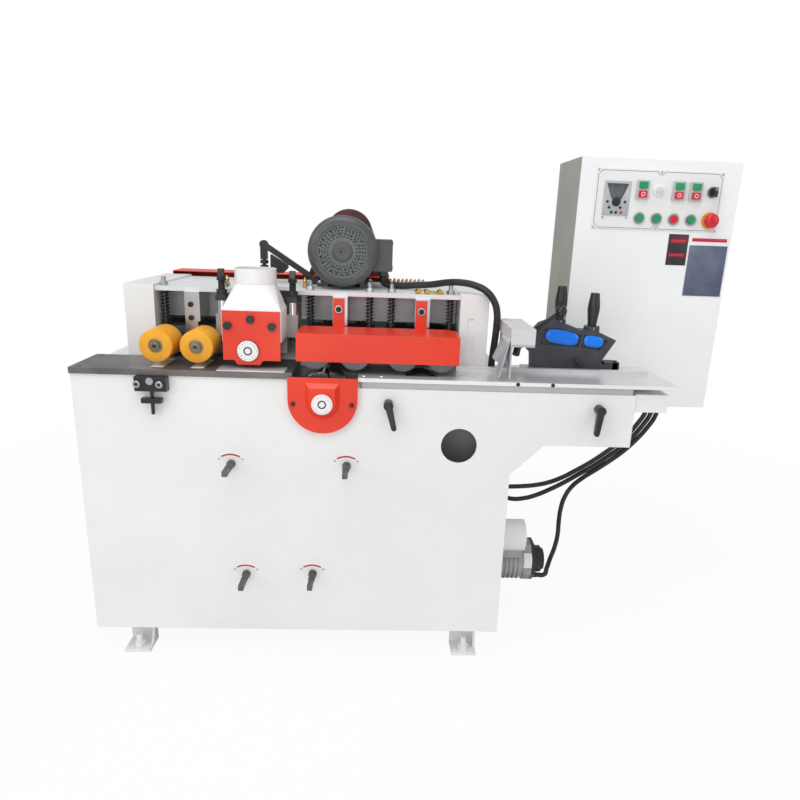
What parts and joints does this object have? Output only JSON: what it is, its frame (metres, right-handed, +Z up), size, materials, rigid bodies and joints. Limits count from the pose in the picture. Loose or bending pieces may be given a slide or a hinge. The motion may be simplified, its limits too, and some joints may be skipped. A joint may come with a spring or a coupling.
{
  "type": "dowel making machine",
  "caption": "Floor standing machine that feeds square stock between two profile cutters to make round rods, with sprung feed units and a control cabinet.",
  "frame": {"origin": "on the floor under the middle of the machine", "axes": "+X from outfeed to infeed, -Y is the operator side, +Z up"},
  "size_m": [1.6093, 0.63, 1.247],
  "materials": {
    "white": "satin",
    "light_grey": "satin",
    "cabinet_grey": "satin",
    "red": "gloss",
    "dark_table": "satin",
    "ground": "satin",
    "steel": "satin",
    "dark_steel": "satin",
    "chrome": "polished",
    "motor_grey": "satin",
    "black": "satin",
    "black_iron": "satin",
    "yellow": "satin",
    "galvanised": "satin",
    "charcoal": "satin",
    "green_plastic": "gloss",
    "red_plastic": "gloss",
    "cable": "matte",
    "spring": "satin"
  },
  "bodies": {
    "frame": {"base_cabinet": "white", "mounting_feet": "white", "outfeed_table": "dark_table", "head_frame": "white", "top_plate": "light_grey", "roller_guard": "red", "drive_covers": "red", "top_motor": "motor_grey", "tension_arm": "black_iron", "guide_posts": "chrome", "lower_cutter_cover": "red", "lower_housing": "dark_steel", "end_block": "black_iron", "feed_gearmotor": "motor_grey", "stock_deflector": "galvanised", "control_cabinet": "cabinet_grey", "motor_conduit": "cable", "cable_bundle": "cable", "outfeed_springs": "spring", "feed_springs_left": "spring", "feed_springs_right": "spring"},
    "infeed": {"infeed_table": "ground", "guide_stand": "charcoal"},
    "head": {"upper_head": "dark_steel", "dust_hood": "white", "cutter_cover": "red"},
    "outfeed_press": {"outfeed_unit": "dark_steel"},
    "feed_press_left": {"feed_unit_left": "dark_steel"},
    "feed_press_right": {"feed_unit_right": "dark_steel"},
    "grip_left": {"grip_left": "charcoal"},
    "grip_right": {"grip_right": "charcoal"},
    "ball_lever": {"ball_lever": "black"},
    "upper_cutter": {"upper_cutter": "steel"},
    "head_screw_left": {"head_screw_left": "steel"},
    "head_screw_right": {"head_screw_right": "steel"},
    "lower_cutter": {"lower_cutter": "steel"},
    "motor_rotor": {"motor_rotor": "steel"},
    "outfeed_roller_left": {"outfeed_roller_left": "yellow"},
    "outfeed_roller_right": {"outfeed_roller_right": "yellow"},
    "feed_wheel_1": {"feed_wheel_1": "dark_steel"},
    "feed_wheel_2": {"feed_wheel_2": "dark_steel"},
    "feed_wheel_3": {"feed_wheel_3": "dark_steel"},
    "feed_wheel_4": {"feed_wheel_4": "dark_steel"},
    "lower_feed_roller": {"lower_feed_roller": "dark_steel"},
    "adjuster_1": {"adjuster_1": "steel"},
    "adjuster_2": {"adjuster_2": "steel"},
    "adjuster_3": {"adjuster_3": "steel"},
    "adjuster_4": {"adjuster_4": "steel"},
    "clamp_lever_left": {"clamp_lever_left": "black_iron"},
    "clamp_lever_right": {"clamp_lever_right": "black_iron"},
    "cabinet_door": {"cabinet_door": "cabinet_grey"},
    "emergency_stop": {"emergency_stop": "red_plastic"},
    "selector_knob": {"selector_knob": "black"},
    "button_1": {"button_1": "green_plastic"},
    "button_2": {"button_2": "green_plastic"},
    "button_3": {"button_3": "red_plastic"},
    "button_4": {"button_4": "green_plastic"},
    "twin_caps_1": {"twin_caps_1": "green_plastic"},
    "twin_caps_2": {"twin_caps_2": "green_plastic"},
    "twin_caps_3": {"twin_caps_3": "green_plastic"}
  },
  "joints": [
    {"name": "infeed_height", "type": "slide", "parent": "frame", "child": "infeed", "axis": [0, 0, 1], "range_m": [-0.006, 0]},
    {"name": "outfeed_press_lift", "type": "slide", "parent": "frame", "child": "outfeed_press", "axis": [0, 0, 1], "range_m": [0, 0.01], "stiffness_N_per_m": 20000, "springref_m": -0.012, "deforming": ["outfeed_springs"]},
    {"name": "feed_press_left_lift", "type": "slide", "parent": "frame", "child": "feed_press_left", "axis": [0, 0, 1], "range_m": [0, 0.01], "stiffness_N_per_m": 20000, "springref_m": -0.012, "deforming": ["feed_springs_left"]},
    {"name": "feed_press_right_lift", "type": "slide", "parent": "frame", "child": "feed_press_right", "axis": [0, 0, 1], "range_m": [0, 0.01], "stiffness_N_per_m": 20000, "springref_m": -0.012, "deforming": ["feed_springs_right"]},
    {"name": "head_height", "type": "slide", "parent": "frame", "child": "head", "axis": [0, 0, 1], "range_m": [0, 0.02]},
    {"name": "head_screw_left_turn", "type": "hinge", "parent": "head", "child": "head_screw_left", "pos_m": [-0.49165, -0.124, 0.9], "axis": [0, 0, 1], "range_deg": [0, 1440]},
    {"name": "head_screw_right_turn", "type": "hinge", "parent": "head", "child": "head_screw_right", "pos_m": [-0.32665, -0.124, 0.9], "axis": [0, 0, 1], "range_deg": [0, 1440]},
    {"name": "motor_spin", "type": "hinge", "parent": "frame", "child": "motor_rotor", "pos_m": [-0.21665, 0.287, 0.996], "axis": [0, 1, 0], "continuous": true},
    {"name": "upper_cutter_spin", "type": "hinge", "parent": "head", "child": "upper_cutter", "pos_m": [-0.40565, -0.045, 0.8], "axis": [0, 1, 0], "continuous": true},
    {"name": "lower_cutter_spin", "type": "hinge", "parent": "frame", "child": "lower_cutter", "pos_m": [-0.24465, -0.045, 0.671], "axis": [0, 1, 0], "continuous": true},
    {"name": "feed_wheel_1_spin", "type": "hinge", "parent": "feed_press_left", "child": "feed_wheel_1", "pos_m": [-0.26565, -0.045, 0.774], "axis": [0, 1, 0], "continuous": true},
    {"name": "feed_wheel_2_spin", "type": "hinge", "parent": "feed_press_left", "child": "feed_wheel_2", "pos_m": [-0.17565, -0.045, 0.774], "axis": [0, 1, 0], "continuous": true},
    {"name": "feed_wheel_3_spin", "type": "hinge", "parent": "feed_press_right", "child": "feed_wheel_3", "pos_m": [-0.06565, -0.045, 0.774], "axis": [0, 1, 0], "continuous": true},
    {"name": "feed_wheel_4_spin", "type": "hinge", "parent": "feed_press_right", "child": "feed_wheel_4", "pos_m": [0.02435, -0.045, 0.774], "axis": [0, 1, 0], "continuous": true},
    {"name": "outfeed_roller_left_spin", "type": "hinge", "parent": "outfeed_press", "child": "outfeed_roller_left", "pos_m": [-0.61965, -0.045, 0.785], "axis": [0, 1, 0], "continuous": true},
    {"name": "outfeed_roller_right_spin", "type": "hinge", "parent": "outfeed_press", "child": "outfeed_roller_right", "pos_m": [-0.52965, -0.045, 0.785], "axis": [0, 1, 0], "continuous": true},
    {"name": "lower_feed_roller_spin", "type": "hinge", "parent": "frame", "child": "lower_feed_roller", "pos_m": [-0.02065, -0.086, 0.686], "axis": [0, 1, 0], "continuous": true},
    {"name": "adjuster_1_turn", "type": "hinge", "parent": "frame", "child": "adjuster_1", "pos_m": [-0.45665, -0.225, 0.517], "axis": [0, 1, 0], "continuous": true},
    {"name": "adjuster_2_turn", "type": "hinge", "parent": "frame", "child": "adjuster_2", "pos_m": [-0.18965, -0.225, 0.518], "axis": [0, 1, 0], "continuous": true},
    {"name": "adjuster_3_turn", "type": "hinge", "parent": "frame", "child": "adjuster_3", "pos_m": [-0.43065, -0.225, 0.231], "axis": [0, 1, 0], "continuous": true},
    {"name": "adjuster_4_turn", "type": "hinge", "parent": "frame", "child": "adjuster_4", "pos_m": [-0.26965, -0.225, 0.234], "axis": [0, 1, 0], "continuous": true},
    {"name": "clamp_lever_left_turn", "type": "hinge", "parent": "frame", "child": "clamp_lever_left", "pos_m": [-0.09565, -0.245, 0.671], "axis": [0, 1, 0], "range_deg": [-60, 60]},
    {"name": "clamp_lever_right_turn", "type": "hinge", "parent": "frame", "child": "clamp_lever_right", "pos_m": [0.39035, -0.245, 0.671], "axis": [0, 1, 0], "range_deg": [-60, 60]},
    {"name": "grip_left_turn", "type": "hinge", "parent": "infeed", "child": "grip_left", "pos_m": [0.32535, -0.071, 0.852], "axis": [0, 0, 1], "range_deg": [-90, 90]},
    {"name": "grip_right_turn", "type": "hinge", "parent": "infeed", "child": "grip_right", "pos_m": [0.40835, -0.071, 0.838], "axis": [0, 0, 1], "range_deg": [-90, 90]},
    {"name": "ball_lever_turn", "type": "hinge", "parent": "infeed", "child": "ball_lever", "pos_m": [0.22635, -0.083, 0.797], "axis": [1, 0, 0], "range_deg": [0, 60]},
    {"name": "cabinet_door_swing", "type": "hinge", "parent": "frame", "child": "cabinet_door", "pos_m": [0.80065, 0.2785, 0.9225], "axis": [0, 0, -1], "range_deg": [0, 110]},
    {"name": "button_1_press", "type": "slide", "parent": "frame", "child": "button_1", "axis": [0, 1, 0], "range_m": [0, 0.004], "stiffness_N_per_m": 600, "springref_m": -0.002},
    {"name": "button_2_press", "type": "slide", "parent": "frame", "child": "button_2", "axis": [0, 1, 0], "range_m": [0, 0.004], "stiffness_N_per_m": 600, "springref_m": -0.002},
    {"name": "button_3_press", "type": "slide", "parent": "frame", "child": "button_3", "axis": [0, 1, 0], "range_m": [0, 0.004], "stiffness_N_per_m": 600, "springref_m": -0.002},
    {"name": "button_4_press", "type": "slide", "parent": "frame", "child": "button_4", "axis": [0, 1, 0], "range_m": [0, 0.004], "stiffness_N_per_m": 600, "springref_m": -0.002},
    {"name": "twin_caps_1_press", "type": "slide", "parent": "frame", "child": "twin_caps_1", "axis": [0, 1, 0], "range_m": [0, 0.004], "stiffness_N_per_m": 600, "springref_m": -0.002},
    {"name": "twin_caps_2_press", "type": "slide", "parent": "frame", "child": "twin_caps_2", "axis": [0, 1, 0], "range_m": [0, 0.004], "stiffness_N_per_m": 600, "springref_m": -0.002},
    {"name": "twin_caps_3_press", "type": "slide", "parent": "frame", "child": "twin_caps_3", "axis": [0, 1, 0], "range_m": [0, 0.004], "stiffness_N_per_m": 600, "springref_m": -0.002},
    {"name": "emergency_stop_press", "type": "slide", "parent": "frame", "child": "emergency_stop", "axis": [0, 1, 0], "range_m": [0, 0.004], "stiffness_N_per_m": 900, "springref_m": -0.003},
    {"name": "selector_turn", "type": "hinge", "parent": "frame", "child": "selector_knob", "pos_m": [0.72635, 0.055, 1.173], "axis": [0, 1, 0], "range_deg": [-45, 45]}
  ],
  "couplings": [
    {"joint": "head_screw_left_turn", "follows": "head_height", "rad_per_m": 1256.6},
    {"joint": "head_screw_right_turn", "follows": "head_height", "rad_per_m": 1256.6},
    {"joint": "upper_cutter_spin", "follows": "motor_spin", "ratio": 1.3333},
    {"joint": "feed_wheel_2_spin", "follows": "feed_wheel_1_spin", "ratio": 1},
    {"joint": "feed_wheel_3_spin", "follows": "feed_wheel_1_spin", "ratio": 1},
    {"joint": "feed_wheel_4_spin", "follows": "feed_wheel_1_spin", "ratio": 1},
    {"joint": "outfeed_roller_left_spin", "follows": "feed_wheel_1_spin", "ratio": 0.97297},
    {"joint": "outfeed_roller_right_spin", "follows": "feed_wheel_1_spin", "ratio": 0.97297},
    {"joint": "lower_feed_roller_spin", "follows": "feed_wheel_1_spin", "ratio": -0.8}
  ]
}
